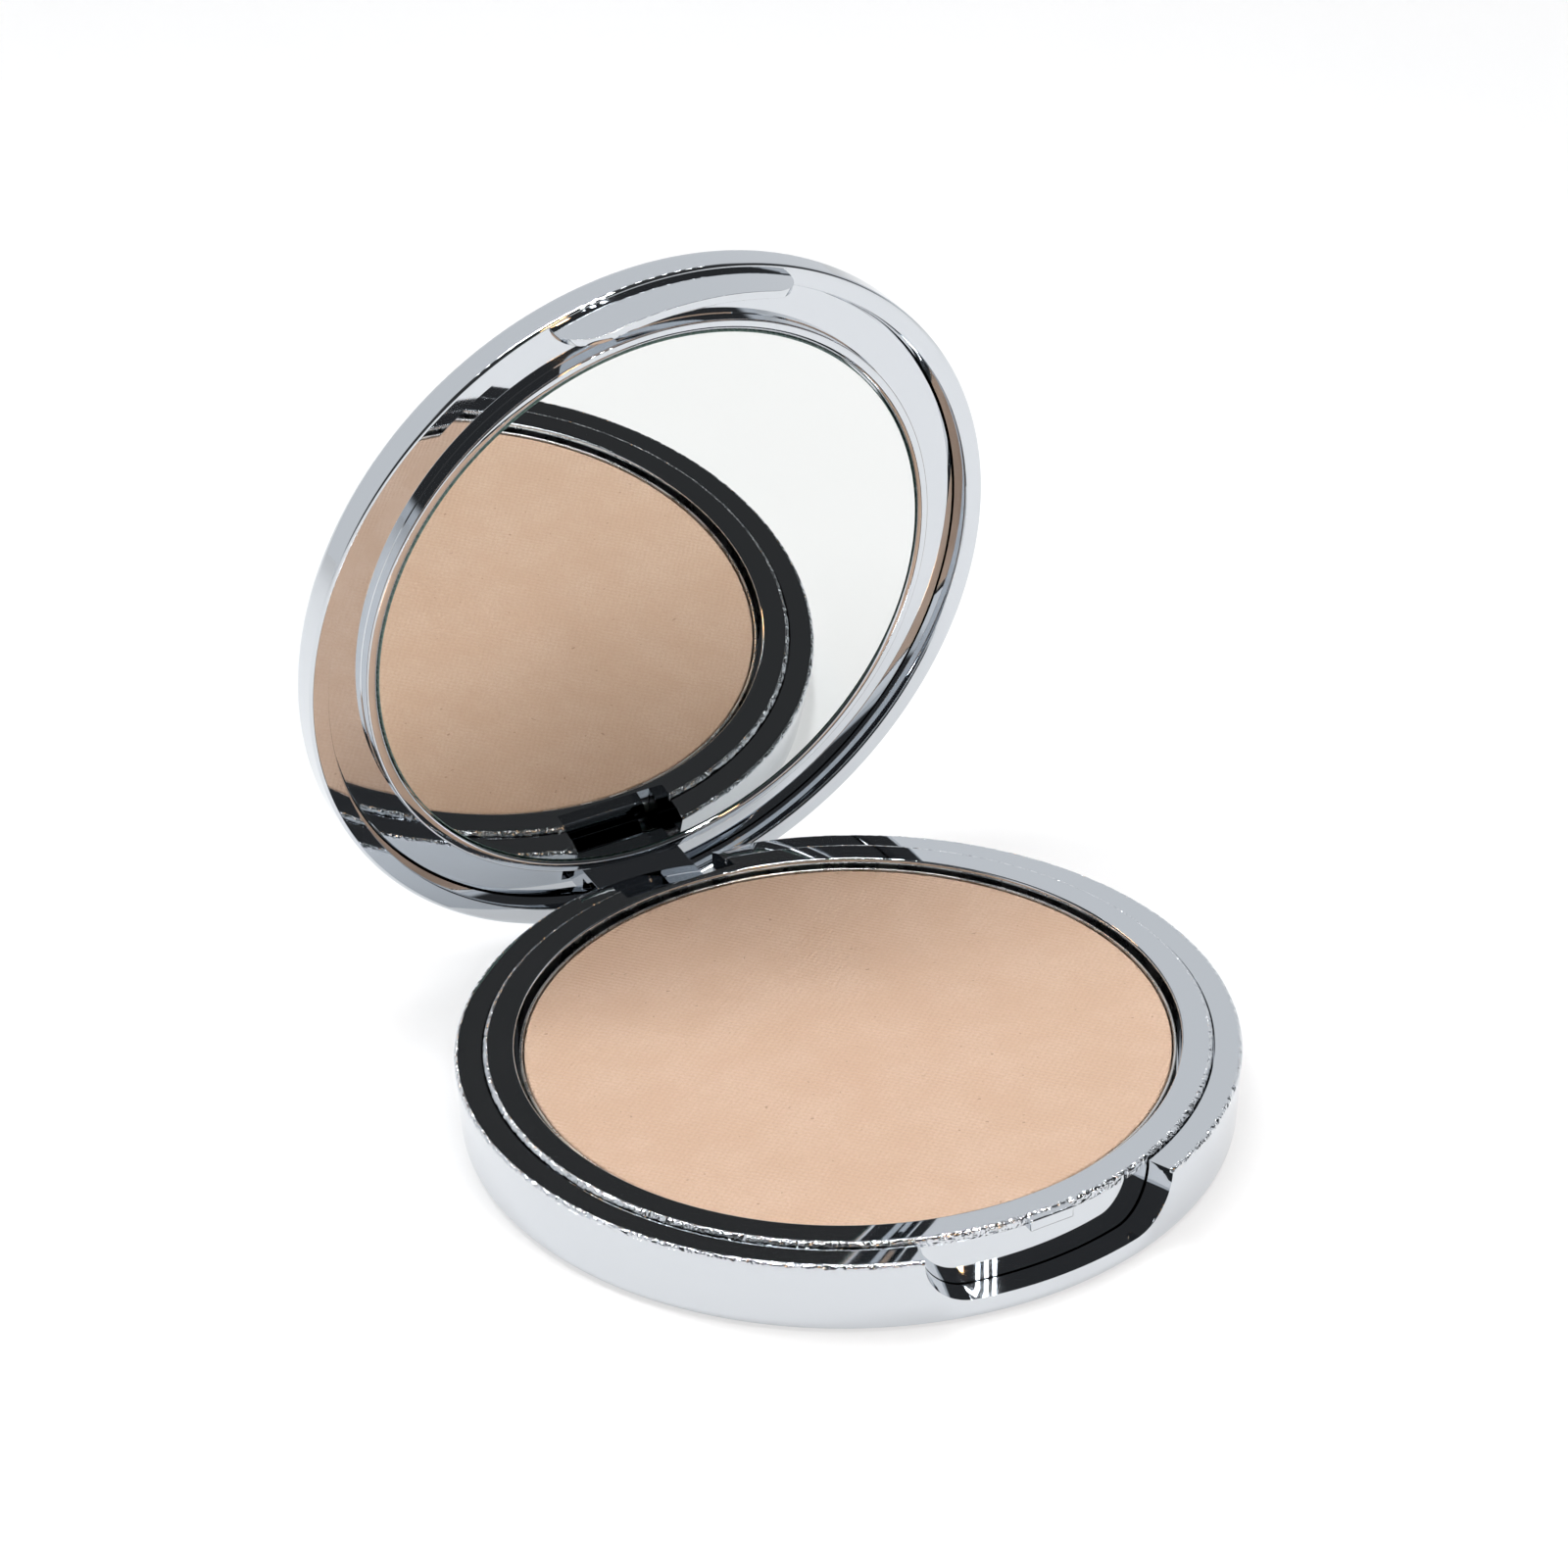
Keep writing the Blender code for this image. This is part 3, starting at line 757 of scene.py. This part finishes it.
@dataclass
class Base:
    """Everything that stays on the table: shell, deck, label, glue, pan, powder and pin."""

    finishes: Finishes
    hinge: Hinge
    radius: float
    rim: float
    deck_radius: float
    deck_top: float
    foot_inset: float = 0.3 * MM
    foot_round: float = 0.8 * MM
    rim_round: float = 0.35 * MM
    shell_floor: float = 1.2 * MM
    label_recess: float = 0.35 * MM
    label_room: float = 24.0 * MM
    deck_round: float = 0.42 * MM
    deck_floor: float = 1.5 * MM
    deck_floor_thickness: float = 0.7 * MM
    well_radius: float = 30.5 * MM
    well_round: float = 0.2 * MM
    slot_half_width: float = 5.9 * MM
    slot_front: float = 31.0 * MM
    slot_floor: float = 0.95 * MM
    nib_half_width: float = 2.2 * MM
    nib_low: float = 6.3 * MM
    nib_reach: float = 0.6 * MM
    nib_drop: float = 0.12 * MM
    relief_half_width: float = 9.6 * MM
    notch_half_width: float = 13.0 * MM
    notch_floor: float = 2.2 * MM
    notch_corner: float = 4.6 * MM
    cut_past: float = 5.0 * MM

    @staticmethod
    def read(finishes: Finishes, hinge: Hinge) -> "Base":
        """Take the driving sizes from the CAD nodes."""
        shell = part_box("base_shell")[1]
        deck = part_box("base_deck")[1]
        return Base(finishes, hinge, radius=shell.x, rim=shell.z, deck_radius=deck.x, deck_top=deck.z)

    def build(self) -> None:
        """Make every piece of the base."""
        self.shell()
        self.deck()
        self.label()
        self.glue()
        self.pan()
        self.powder()
        self.pin()

    def slot_cutter(self) -> bpy.types.Object:
        """The block that cuts the hinge slot."""
        front, back = self.slot_front, self.radius + 4 * MM
        outline = [(-self.slot_half_width, y, z) for y, z in
                   ((front, self.slot_floor), (back, self.slot_floor), (back, 12 * MM), (front, 12 * MM))]
        return Bench.prism("slot_cutter", outline, (2 * self.slot_half_width, 0, 0))

    def relief_cutter(self) -> bpy.types.Object:
        """The wedge that chamfers the rim beside the hinge."""
        start, middle, end = self.hinge.depth + 0.8 * MM, self.radius - 0.2 * MM, self.radius + 2 * MM
        outline = [(start, self.rim), (middle, self.rim - 0.55 * MM), (end, self.rim - 1.35 * MM),
                   (end, self.rim + 2 * MM), (start, self.rim + 2 * MM)]
        points = [(-self.relief_half_width, y, z) for y, z in outline]
        return Bench.prism("relief_cutter", points, (2 * self.relief_half_width, 0, 0))

    def shell(self) -> None:
        """The outer cup with the flat rim, cut for the thumb notch and the hinge."""
        foot_radius = self.radius - self.foot_inset
        foot = arc((foot_radius - self.foot_round, self.foot_round), self.foot_round, -90, 0)
        rim = arc((self.radius - self.rim_round, self.rim - self.rim_round), self.rim_round, 0, 90)
        inner = self.deck_radius + PART_GAP
        profile = [(0, self.label_recess), (self.label_room, self.label_recess), (self.label_room, 0)]
        profile += foot + rim + [(inner, self.rim), (inner, self.shell_floor), (0, self.shell_floor)]
        shell = Bench.lathe("shell", profile)
        notch = RimShape(self.notch_half_width, self.notch_floor, self.notch_corner, self.rim + self.cut_past,
                         self.radius)
        cutter = notch.block("notch_cutter", self.deck_radius - 0.5 * MM, self.radius + self.cut_past)
        Bench.merge_with(shell, cutter, "DIFFERENCE")
        Bench.merge_with(shell, self.slot_cutter(), "DIFFERENCE")
        Bench.merge_with(shell, self.relief_cutter(), "DIFFERENCE")
        Bench.smooth(shell)
        Bench.hand_over(shell, Body.BASE, "base_shell", Slot.CHROME, [self.finishes.base_chrome])

    def deck(self) -> None:
        """The raised ring round the powder, with its well and the catch nib."""
        outer = arc((self.deck_radius - self.deck_round, self.deck_top - self.deck_round), self.deck_round, 0, 90)
        inner = arc((self.well_radius + self.well_round, self.deck_top - self.well_round), self.well_round,
                    90, 180, 6)
        floor = self.deck_floor + self.deck_floor_thickness
        profile = [(0, self.deck_floor), (self.deck_radius, self.deck_floor)]
        profile += outer + inner + [(self.well_radius, floor), (0, floor)]
        deck = Bench.lathe("deck", profile)
        Bench.merge_with(deck, self.nib(), "UNION")
        Bench.merge_with(deck, self.slot_cutter(), "DIFFERENCE")
        Bench.smooth(deck)
        Bench.hand_over(deck, Body.BASE, "base_deck", Slot.CHROME, [self.finishes.base_chrome])

    def nib(self) -> bpy.types.Object:
        """The small ledge on the notch's back wall that the lid snaps over."""
        back = self.deck_radius - 0.75 * MM
        front = self.deck_radius + self.nib_reach
        top = self.deck_top - self.nib_drop
        outline = [(-self.nib_half_width, -y, z) for y, z in
                   ((back, self.nib_low), (front, self.nib_low), (front, top), (back, top))]
        nib = Bench.prism("nib", outline, (2 * self.nib_half_width, 0, 0))
        Bench.ease(nib, 0.16 * MM)
        return nib

    def label(self) -> None:
        """The round paper label in the underside's recess."""
        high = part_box("base_label")[1]
        edge = 0.04 * MM
        profile = [(0, 0), (high.x - edge, 0), (high.x, edge), (high.x, high.z - edge), (high.x - edge, high.z),
                   (0, high.z)]
        label = Bench.lathe("label", profile)
        Bench.smooth(label)
        Bench.hand_over(label, Body.BASE, "base_label", Slot.LABEL, [self.finishes.paper])

    def glue(self) -> None:
        """The flat dab of glue under the pan."""
        low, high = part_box("pan_glue")
        thick = high.z - low.z
        profile = [(0, low.z)] + arc((high.x - thick / 2, low.z + thick / 2), thick / 2, -90, 90, 8) + [(0, high.z)]
        glue = Bench.lathe("pan_glue_dab", profile, steps=96)
        Bench.smooth(glue)
        Bench.hand_over(glue, Body.BASE, "pan_glue", Slot.GLUE, [self.finishes.glue])

    def pan(self) -> None:
        """The thin pressed cup, with a rolled lip."""
        low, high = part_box("powder_pan")
        wall, foot_round = 0.3 * MM, 0.5 * MM
        outer = high.x
        foot = arc((outer - foot_round, low.z + foot_round), foot_round, -90, 0)
        lip = arc((outer - wall / 2, high.z - wall / 2), wall / 2, 0, 180)
        inner_corner = arc((outer - foot_round - wall / 2, low.z + wall + foot_round / 2), foot_round / 2, 0, -90, 5)
        profile = [(0, low.z)] + foot + lip + [(outer - wall, low.z + 2 * wall)] + inner_corner
        profile += [(0, low.z + wall)]
        pan = Bench.lathe("pan", profile)
        Bench.smooth(pan)
        Bench.hand_over(pan, Body.BASE, "powder_pan", Slot.PAN, [self.finishes.pan])

    def powder(self) -> None:
        """The pressed cake, with a soft edge and a face that dips and swells very slightly."""
        low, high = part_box("powder_cake")
        edge_round = 0.2 * MM
        flat = high.x - edge_round
        edge = arc((flat, high.z - edge_round), edge_round, 0, 90, 6)
        profile = [(0, low.z), (high.x, low.z)] + edge + run((flat, high.z), (0, high.z), 48)
        cake = Bench.lathe("powder", profile)
        Bench.take(cake)
        clouds = bpy.data.textures.new("press_swell", "CLOUDS")
        clouds.noise_scale = 0.35 * MM
        clouds.noise_depth = 2
        swell = cake.modifiers.new("swell", "DISPLACE")
        swell.texture = clouds
        swell.texture_coords = "LOCAL"
        swell.strength = 0.012 * MM
        swell.mid_level = 1.0
        bpy.ops.object.modifier_apply(modifier=swell.name)
        Bench.smooth(cake, 60.0)
        Bench.hand_over(cake, Body.BASE, "powder_cake", Slot.POWDER, [self.finishes.powder])

    def pin(self) -> None:
        """The hinge pin, with eased ends."""
        low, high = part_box("hinge_pin")
        radius = (high.z - low.z) / 2
        Bench.clear_selection()
        bpy.ops.mesh.primitive_cylinder_add(vertices=64, radius=radius, depth=high.x - low.x,
                                            location=(0, 0, 0))
        pin = bpy.context.object
        pin.name = "pin"
        bpy.ops.object.mode_set(mode="EDIT")
        bpy.ops.mesh.select_all(action="SELECT")
        bpy.ops.transform.rotate(value=math.pi / 2, orient_axis="Y", center_override=(0, 0, 0))
        bpy.ops.transform.translate(value=self.hinge.place)
        bpy.ops.object.mode_set(mode="OBJECT")
        Bench.ease(pin, 0.12 * MM)
        Bench.smooth(pin)
        Bench.hand_over(pin, Body.BASE, "hinge_pin", Slot.PIN, [self.finishes.pin])


@dataclass
class Lid:
    """Everything that swings: cover, frame with the hinge lug, mirror and tape, modelled shut."""

    finishes: Finishes
    hinge: Hinge
    radius: float
    rim: float = 7.25 * MM
    top: float = 10.95 * MM
    crown: float = 0.15 * MM
    edge_round: float = 0.35 * MM
    shoulder_round: float = 1.35 * MM
    wall_top_radius: float = 34.1 * MM
    ring_floor: float = 9.0 * MM
    frame_radius: float = 33.6 * MM
    frame_back: float = 9.75 * MM
    seat: float = 9.25 * MM
    bead_inner: float = 29.0 * MM
    bead_outer: float = 30.1 * MM
    bead_crest: float = 7.7 * MM
    bead_top: float = 29.55 * MM
    bead_fall: float = 0.4 * MM
    bead_edge_round: float = 0.2 * MM
    mirror_radius: float = 28.85 * MM
    mirror_face: float = 7.95 * MM
    mirror_thickness: float = 0.95 * MM
    tape_radius: float = 24.0 * MM
    tape_thickness: float = 0.14 * MM
    tab_outer: float = 35.4 * MM
    tab_inner: float = 34.62 * MM
    tab_low: float = 3.0 * MM
    tab_half_width: float = 12.55 * MM
    tab_corner: float = 4.25 * MM
    tab_edge_round: float = 0.1 * MM
    hook_inner: float = 34.4 * MM
    hook_half_width: float = 3.1 * MM
    hook_high: float = 4.1 * MM
    sunk: float = 0.35 * MM
    cut_past: float = 5.0 * MM
    lug_half_width: float = 5.2 * MM
    lug_front: float = 32.2 * MM
    lug_web_back: float = 33.15 * MM
    lug_heel: float = 35.0 * MM
    lug_barrel: float = 1.3 * MM
    bore: float = 0.85 * MM
    bore_half_length: float = 8.5 * MM

    @staticmethod
    def read(finishes: Finishes, hinge: Hinge) -> "Lid":
        """Take the driving size from the CAD node."""
        return Lid(finishes, hinge, radius=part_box("lid_cover")[1].x)

    def build(self) -> None:
        """Make every piece of the lid."""
        self.cover()
        self.inner_frame()
        self.mirror()
        self.tape()

    def finish(self, piece: bpy.types.Object, node: str, slot: Slot, finishes: list[bpy.types.Material]) -> None:
        """Swing a lid piece open and dress it."""
        Bench.swing_open(piece, self.hinge)
        Bench.smooth(piece)
        Bench.hand_over(piece, Body.LID, node, slot, finishes)

    def cover(self) -> None:
        """The outer lid, whose rim meets the base's rim, with the front tab."""
        inner = self.frame_radius + PART_GAP
        back = self.frame_back + PART_GAP
        lip = arc((self.radius - self.edge_round, self.rim + self.edge_round), self.edge_round, -90, 0)
        corner = (self.radius - self.shoulder_round, self.top - self.shoulder_round)
        shoulder = arc(corner, self.shoulder_round, 0, 90, 16)
        profile = [(0, back), (inner, back), (inner, self.ring_floor)]
        profile += [(self.wall_top_radius - 0.08 * MM, self.rim + 0.3 * MM)]
        profile += [(self.wall_top_radius + 0.1 * MM, self.rim)]
        profile += lip + shoulder + self.crown_line(corner[0])
        cover = Bench.lathe("cover", profile)
        Bench.merge_with(cover, self.tab(), "UNION")
        self.finish(cover, "lid_cover", Slot.CHROME, [self.finishes.chrome])

    def tab(self) -> bpy.types.Object:
        """The tab that hangs from the lid's rim: a strip of a ring, trimmed to a U, with its hook."""
        low, high = self.tab_low - self.sunk, self.rim + self.sunk
        corners = [(self.tab_inner, low), (self.tab_outer, low), (self.tab_outer, high), (self.tab_inner, high)]
        tab = Bench.lathe("tab", corners, closed=True)
        shape = RimShape(self.tab_half_width, self.tab_low, self.tab_corner, high + self.sunk, self.radius)
        trim = shape.block("tab_trim", self.tab_inner - self.cut_past, self.tab_outer + self.cut_past)
        Bench.merge_with(tab, trim, "INTERSECT")
        Bench.ease(tab, self.tab_edge_round)
        Bench.merge_with(tab, self.hook(), "UNION")
        return tab

    def hook(self) -> bpy.types.Object:
        """The catch low on the tab's inner face."""
        root = self.tab_outer - self.sunk
        low = self.tab_low + 0.15 * MM
        outline = [(-self.hook_half_width, -y, z) for y, z in
                   ((root, low), (self.hook_inner, low), (self.hook_inner, self.hook_high), (root, self.hook_high))]
        hook = Bench.prism("hook", outline, (2 * self.hook_half_width, 0, 0))
        Bench.ease(hook, 0.12 * MM)
        return hook

    def crown_line(self, start: float) -> Profile:
        """The lid's very slightly domed top, from the shoulder in to the axis."""
        steps = 14
        radii = [start * (1 - step / steps) for step in range(1, steps + 1)]
        return [(radius, self.top + self.crown * (1 - (radius / start) ** 2)) for radius in radii]

    def inner_frame(self) -> None:
        """The inner lid: back plate, sunk ring, round bead and hinge lug."""
        root = 0.08 * MM
        profile = [(0, self.frame_back), (self.frame_radius, self.frame_back), (self.frame_radius, self.ring_floor)]
        profile += [(self.bead_outer + root, self.ring_floor), (self.bead_outer, self.ring_floor - root)]
        profile += self.bead() + [(self.bead_inner, self.seat), (0, self.seat)]
        piece = Bench.lathe("lid_inner_frame", profile)
        Bench.merge_with(piece, self.lug(), "UNION")
        self.finish(piece, "lid_frame", Slot.CHROME, [self.finishes.chrome])

    def bead(self) -> Profile:
        """The bead that frames the mirror: a steep outer flank and a soft fall to the glass."""
        edge = (self.bead_outer - self.bead_edge_round, self.bead_crest + self.bead_edge_round)
        points = arc(edge, self.bead_edge_round, 0, -90)
        for step in range(17):
            turn = math.pi / 2 * step / 16
            radius = self.bead_top - (self.bead_top - self.bead_inner) * math.sin(turn)
            points.append((radius, self.bead_crest + self.bead_fall * (1 - math.cos(turn))))
        return points

    def lug(self) -> bpy.types.Object:
        """The hinge lug: a web down from the ring, a stop heel and a bored barrel."""
        y, z = self.hinge.depth, self.hinge.height
        low = self.rim - 0.2 * MM
        outline = arc((y, z), self.lug_barrel, 180, 350, 24)
        outline += [(self.lug_heel, 3.5 * MM), (self.lug_heel, low - 0.2 * MM), (self.lug_heel - 0.2 * MM, low)]
        root = self.ring_floor + self.sunk
        outline += [(self.lug_web_back, low), (self.lug_web_back, root), (self.lug_front, root)]
        lug = Bench.prism("lug", [(-self.lug_half_width, a, b) for a, b in outline], (2 * self.lug_half_width, 0, 0))
        Bench.ease(lug, 0.08 * MM, 2, 60.0)
        hole = [(-self.bore_half_length, a, b) for a, b in arc((y, z), self.bore, 0, 360, 48)[:-1]]
        Bench.merge_with(lug, Bench.prism("bore_cutter", hole, (2 * self.bore_half_length, 0, 0)), "DIFFERENCE")
        return lug

    def mirror(self) -> None:
        """The round glass, with a ground edge and a painted back."""
        edge = 0.12 * MM
        face, back = self.mirror_face, self.mirror_face + self.mirror_thickness
        profile = [(0, face), (self.mirror_radius - edge, face), (self.mirror_radius, face + edge),
                   (self.mirror_radius, back - edge), (self.mirror_radius - edge, back), (0, back)]
        mirror = Bench.lathe("mirror", profile)
        for finish in (self.finishes.mirror, self.finishes.glass_edge, self.finishes.back_paint):
            mirror.data.materials.append(finish)
        for index, low, high in ((1, face + edge / 4, back - edge / 4), (2, back - edge / 4, back + edge)):
            Bench.pick_faces(mirror, lambda middle: low < middle.z < high)
            mirror.active_material_index = index
            bpy.ops.object.material_slot_assign()
            bpy.ops.object.mode_set(mode="OBJECT")
        self.finish(mirror, "lid_mirror", Slot.MIRROR, [])

    def tape(self) -> None:
        """The disc of thin foam tape behind the mirror."""
        low = self.seat - 0.12 * MM - self.tape_thickness
        edge = self.tape_thickness / 2
        profile = [(0, low)] + arc((self.tape_radius - edge, low + edge), edge, -90, 90, 6)
        profile += [(0, low + self.tape_thickness)]
        tape = Bench.lathe("tape", profile, steps=128)
        self.finish(tape, "mirror_tape", Slot.TAPE, [self.finishes.foam])


# ---------------------------------------------------------------- studio


@dataclass(frozen=True)
class Strip:
    """A strip of small lamps, hung overhead and facing down or towards the object."""

    name: str
    place: Point
    size: tuple[float, float]
    power: float
    dots: int
    tint: Point = (1.0, 1.0, 1.0)
    share: float = 0.35

    def hang(self) -> None:
        """Add the lamp and aim it at the compact."""
        data = bpy.data.lights.new(self.name, "AREA")
        data.shape = "RECTANGLE"
        data.size, data.size_y = self.size
        data.energy = self.power
        data.color = self.tint
        lamp = bpy.data.objects.new(self.name, data)
        bpy.context.scene.collection.objects.link(lamp)
        lamp.location = self.place
        aim = Vector((0, 0, 20 * MM)) - Vector(self.place)
        lamp.rotation_euler = aim.to_track_quat("-Z", "Y").to_euler()
        if self.dots:
            self.break_up(data)
        LOG.info("lamp %s", self.name)

    def break_up(self, data: bpy.types.Light) -> None:
        """Break the strip's glow into a row of dots."""
        data.use_nodes = True
        tree = data.node_tree
        glow = tree.nodes["Emission"]
        spot = tree.nodes.new("ShaderNodeNewGeometry")
        parts = tree.nodes.new("ShaderNodeSeparateXYZ")
        count = tree.nodes.new("ShaderNodeMath")
        count.operation = "MULTIPLY"
        count.inputs[1].default_value = self.dots
        share = tree.nodes.new("ShaderNodeMath")
        share.operation = "FRACT"
        lit = tree.nodes.new("ShaderNodeMath")
        lit.operation = "LESS_THAN"
        lit.inputs[1].default_value = self.share
        gain = tree.nodes.new("ShaderNodeMath")
        gain.operation = "MULTIPLY"
        gain.inputs[1].default_value = 1 / self.share
        tree.links.new(spot.outputs["Parametric"], parts.inputs[0])
        tree.links.new(parts.outputs["X"], count.inputs[0])
        tree.links.new(count.outputs[0], share.inputs[0])
        tree.links.new(share.outputs[0], lit.inputs[0])
        tree.links.new(lit.outputs[0], gain.inputs[0])
        tree.links.new(gain.outputs[0], glow.inputs["Strength"])


@dataclass
class Studio:
    """Pale floor, soft sky, lamps and the camera."""

    floor_size: float = 6.0
    floor_drop: float = 0.05 * MM
    floor_glow: float = 0.55
    sky_tint: Point = (0.95, 0.97, 1.0)
    sky_bright: float = 0.78
    sky_dark: float = 0.045
    eye: Point = (-0.170715, -0.287540, 0.225293)
    aim: Point = (0.002617, 0.015188, 0.025253)
    roll: float = math.radians(-1.337)
    lens: float = 100.0
    sensor: float = 36.0

    def build(self) -> None:
        """Set the whole studio."""
        bpy.context.scene.view_settings.view_transform = "Standard"
        self.floor()
        self.sky()
        self.lamps()
        self.camera()

    def floor(self) -> None:
        """A wide matt pale table, lit softly from below."""
        Bench.clear_selection()
        bpy.ops.mesh.primitive_plane_add(size=self.floor_size, location=(0, 0, -self.floor_drop))
        floor = bpy.context.object
        floor.name = "floor"
        graph = Graph("pale_table")
        mottle = graph.noise(graph.place(), 0.05, 3.0)
        graph.feed(graph.shader, "Base Color", graph.blend(mottle, (0.42, 0.425, 0.43), (0.45, 0.45, 0.455)))
        graph.shader.inputs["Emission Color"].default_value = (1.0, 1.0, 1.0, 1.0)
        graph.shader.inputs["Emission Strength"].default_value = self.floor_glow
        graph.shader.inputs["Roughness"].default_value = 0.8
        graph.shader.inputs["Specular IOR Level"].default_value = 0.1
        floor.data.materials.append(graph.material)

    def sky(self) -> None:
        """A soft sky: bright behind, dark in front and overhead."""
        world = bpy.data.worlds.new("studio_sky")
        bpy.context.scene.world = world
        world.use_nodes = True
        graph = Graph.__new__(Graph)
        graph.tree = world.node_tree
        way = graph.node("ShaderNodeTexCoord").outputs["Generated"]
        parts = graph.node("ShaderNodeSeparateXYZ", {0: way})
        front = graph.spread(parts.outputs["Y"], (-0.25, 0.10), (1.0, 0.0))
        raised = graph.spread(parts.outputs["Z"], (0.02, 0.10), (0.0, 1.0))
        over = graph.spread(parts.outputs["Z"], (0.66, 0.80), (0.0, 1.0))
        nearer = graph.spread(parts.outputs["Y"], (0.15, 0.50), (1.0, 0.0))
        dark = graph.sum(graph.sum(front, raised, "MULTIPLY"), graph.sum(over, nearer, "MULTIPLY"), "MAXIMUM")
        glow = graph.spread(dark, (0.0, 1.0), (self.sky_bright, self.sky_dark))
        background = world.node_tree.nodes["Background"]
        background.inputs["Color"].default_value = (*self.sky_tint, 1.0)
        graph.feed(background, "Strength", glow)

    def lamps(self) -> None:
        """Strips of lamps overhead, and a white and a warm lamp in front."""
        strips = (
            Strip("front_strip", (-0.04, -0.02, 0.62), (0.70, 0.05), 3.5, 18),
            Strip("back_strip", (0.02, 0.16, 0.60), (0.70, 0.05), 0.65, 18),
            Strip("front_lamp", (0.13, -0.62, 0.44), (0.09, 0.05), 0.45, 3),
            Strip("warm_lamp", (0.01, -0.63, 0.42), (0.07, 0.07), 0.40, 0, (1.0, 0.55, 0.25)),
        )
        for strip in strips:
            strip.hang()

    def camera(self) -> None:
        """A long lens looking down at the open compact from the front left."""
        data = bpy.data.cameras.new("camera")
        data.lens = self.lens
        data.sensor_width = self.sensor
        data.clip_start, data.clip_end = 0.01, 20.0
        camera = bpy.data.objects.new("camera", data)
        bpy.context.scene.collection.objects.link(camera)
        look = (Vector(self.aim) - Vector(self.eye)).to_track_quat("-Z", "Y").to_matrix()
        tilt = Matrix.Rotation(self.roll, 3, "Z")
        camera.matrix_world = Matrix.Translation(self.eye) @ (look @ tilt).to_4x4()
        bpy.context.scene.camera = camera


def main() -> None:
    """Build the compact and its studio."""
    logging.basicConfig(level=logging.INFO, format="%(name)s %(message)s")
    finishes = Finishes.make()
    hinge = Hinge.read()
    Studio().build()
    Base.read(finishes, hinge).build()
    Lid.read(finishes, hinge).build()


if __name__ == "__main__":
    main()
